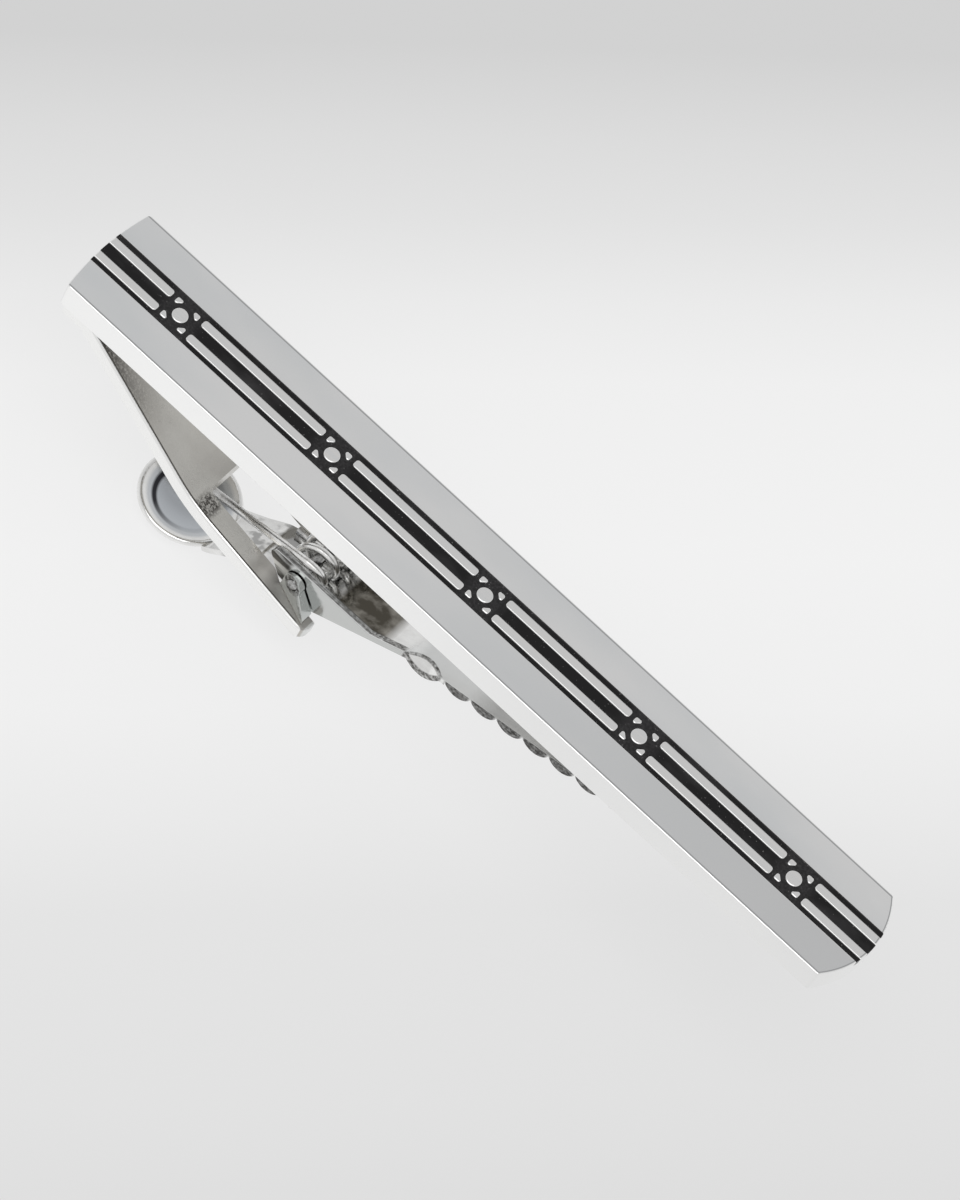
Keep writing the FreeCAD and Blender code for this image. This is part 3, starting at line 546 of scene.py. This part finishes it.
# The clip lies on a pale card with its pad down. The card's glow is painted lightest round the clip and
# greyer behind it and before it, a painted pool of light; it shows its own colour to the camera and to the
# polished metal, and keeps the shadow.
FLOOR_HALF = 1.5
FLOOR_PALE = (0.80, 0.80, 0.80, 1.0)
FLOOR_ROUGH = 0.9
FLOOR_GLOSS = 0.1
FLOOR_OWN_GLOW = 0.8
FLOOR_WAY = (-0.6719, 0.5761, 0.0)
FLOOR_SPAN = (-0.030, 0.040)
FLOOR_LIGHT_POOL_STOPS = (
    (0.0, 0.70), (0.14, 0.76), (0.28, 0.785), (0.35, 0.845), (0.43, 0.90), (0.55, 0.92),
    (0.69, 0.90), (0.755, 0.85), (0.825, 0.765), (0.89, 0.71), (0.97, 0.62),
)


def grey_ramp(value, stops):
    """Greys between the stops, each a place from nought to one and a level."""
    tree = value.id_data
    ramp = tree.nodes.new("ShaderNodeValToRGB")
    steps = ramp.color_ramp.elements
    steps[0].position, steps[1].position = stops[0][0], stops[-1][0]
    steps[0].color, steps[1].color = [(level, level, level, 1.0) for _, level in (stops[0], stops[-1])]
    for stop, level in stops[1:-1]:
        steps.new(stop).color = (level, level, level, 1.0)
    tree.links.new(value, ramp.inputs["Fac"])
    return ramp.outputs["Color"]


card = bmesh.new()
bmesh.ops.create_grid(card, x_segments=1, y_segments=1, size=FLOOR_HALF)
bmesh.ops.translate(card, verts=card.verts, vec=(0.0, 0.0, cad_box[0][2]))
card_mesh = bpy.data.meshes.new("floor_card")
card.to_mesh(card_mesh)
card.free()
floor_card = bpy.data.objects.new("floor_card", card_mesh)
bpy.context.scene.collection.objects.link(floor_card)

floor_finish, tree, shader, place = new_finish("pale_card")
shader.inputs["Base Color"].default_value = FLOOR_PALE
shader.inputs["Roughness"].default_value = FLOOR_ROUGH
shader.inputs["Specular IOR Level"].default_value = FLOOR_GLOSS
to_back = tree.nodes.new("ShaderNodeVectorMath")
to_back.operation = "DOT_PRODUCT"
to_back.inputs[1].default_value = FLOOR_WAY
tree.links.new(place, to_back.inputs[0])
backward = rise(to_back.outputs["Value"], *FLOOR_SPAN)
rays = tree.nodes.new("ShaderNodeLightPath").outputs
shown = combine("MAXIMUM", rays["Is Camera Ray"], rays["Is Glossy Ray"], rays["Is Transmission Ray"])
glow = tree.nodes.new("ShaderNodeEmission")
tree.links.new(grey_ramp(backward, FLOOR_LIGHT_POOL_STOPS), glow.inputs["Color"])
card_mix = tree.nodes.new("ShaderNodeMixShader")
tree.links.new(combine("MULTIPLY", shown, FLOOR_OWN_GLOW), card_mix.inputs[0])
tree.links.new(shader.outputs["BSDF"], card_mix.inputs[1])
tree.links.new(glow.outputs["Emission"], card_mix.inputs[2])
tree.links.new(card_mix.outputs["Shader"], tree.nodes["Material Output"].inputs["Surface"])
card_mesh.materials.append(floor_finish)

# One broad soft lamp hangs over the near side of the clip and faces it. A tent stands round both: it is pale
# low down, greyer higher up and lightest overhead, and the polished metal mirrors it.
LAMP_SIZE = (0.50, 0.35)
LAMP_PLACE = Vector((0.02, -0.16, 0.42))
LAMP_POWER = 0.75
TENT_STOPS = ((0.0, 0.70), (0.35, 0.78), (0.55, 0.70), (0.72, 0.58), (0.86, 0.62), (1.0, 0.85))

soft_lamp = bpy.data.lights.new("soft_lamp", "AREA")
soft_lamp.shape = "RECTANGLE"
soft_lamp.size, soft_lamp.size_y = LAMP_SIZE
soft_lamp.energy = LAMP_POWER
lamp = bpy.data.objects.new("soft_lamp", soft_lamp)
lamp.location = LAMP_PLACE
lamp.rotation_euler = (-LAMP_PLACE).to_track_quat("-Z", "Y").to_euler()
bpy.context.scene.collection.objects.link(lamp)

tent = bpy.data.worlds.new("studio_tent")
tent.use_nodes = True
tree = tent.node_tree
_, _, height = axes_of(tree.nodes.new("ShaderNodeTexCoord").outputs["Generated"])
tree.links.new(grey_ramp(height, TENT_STOPS), tree.nodes["Background"].inputs["Color"])
bpy.context.scene.world = tent

# The camera looks down on the front of the bar from the near side, a little from the right, and is turned so
# that the bar runs from the upper left to the lower right of the picture.
CAMERA_TURN = math.radians(11.61)
CAMERA_RISE = math.radians(56.36)
CAMERA_ROLL = math.radians(32.83)
CAMERA_DISTANCE = 0.37
CAMERA_AIM = Vector((-0.00023, 0.00071, 0.0))
CAMERA_LENS = 210.36
CAMERA_SENSOR = 36.0
CAMERA_CLIP = (0.01, 10.0)

view = bpy.data.cameras.new("camera")
view.lens = CAMERA_LENS
view.sensor_width = CAMERA_SENSOR
view.clip_start, view.clip_end = CAMERA_CLIP
back = Vector((
    math.sin(CAMERA_TURN) * math.cos(CAMERA_RISE),
    -math.cos(CAMERA_TURN) * math.cos(CAMERA_RISE),
    math.sin(CAMERA_RISE),
))
level_right = Vector((math.cos(CAMERA_TURN), math.sin(CAMERA_TURN), 0.0))
level_up = back.cross(level_right)
right = math.cos(CAMERA_ROLL) * level_right + math.sin(CAMERA_ROLL) * level_up
up = back.cross(right)
camera = bpy.data.objects.new("camera", view)
turn = Matrix((right, up, back)).transposed().to_4x4()
camera.matrix_world = Matrix.Translation(CAMERA_AIM + back * CAMERA_DISTANCE) @ turn
bpy.context.scene.collection.objects.link(camera)
bpy.context.scene.camera = camera
bpy.context.scene.view_settings.view_transform = "Standard"
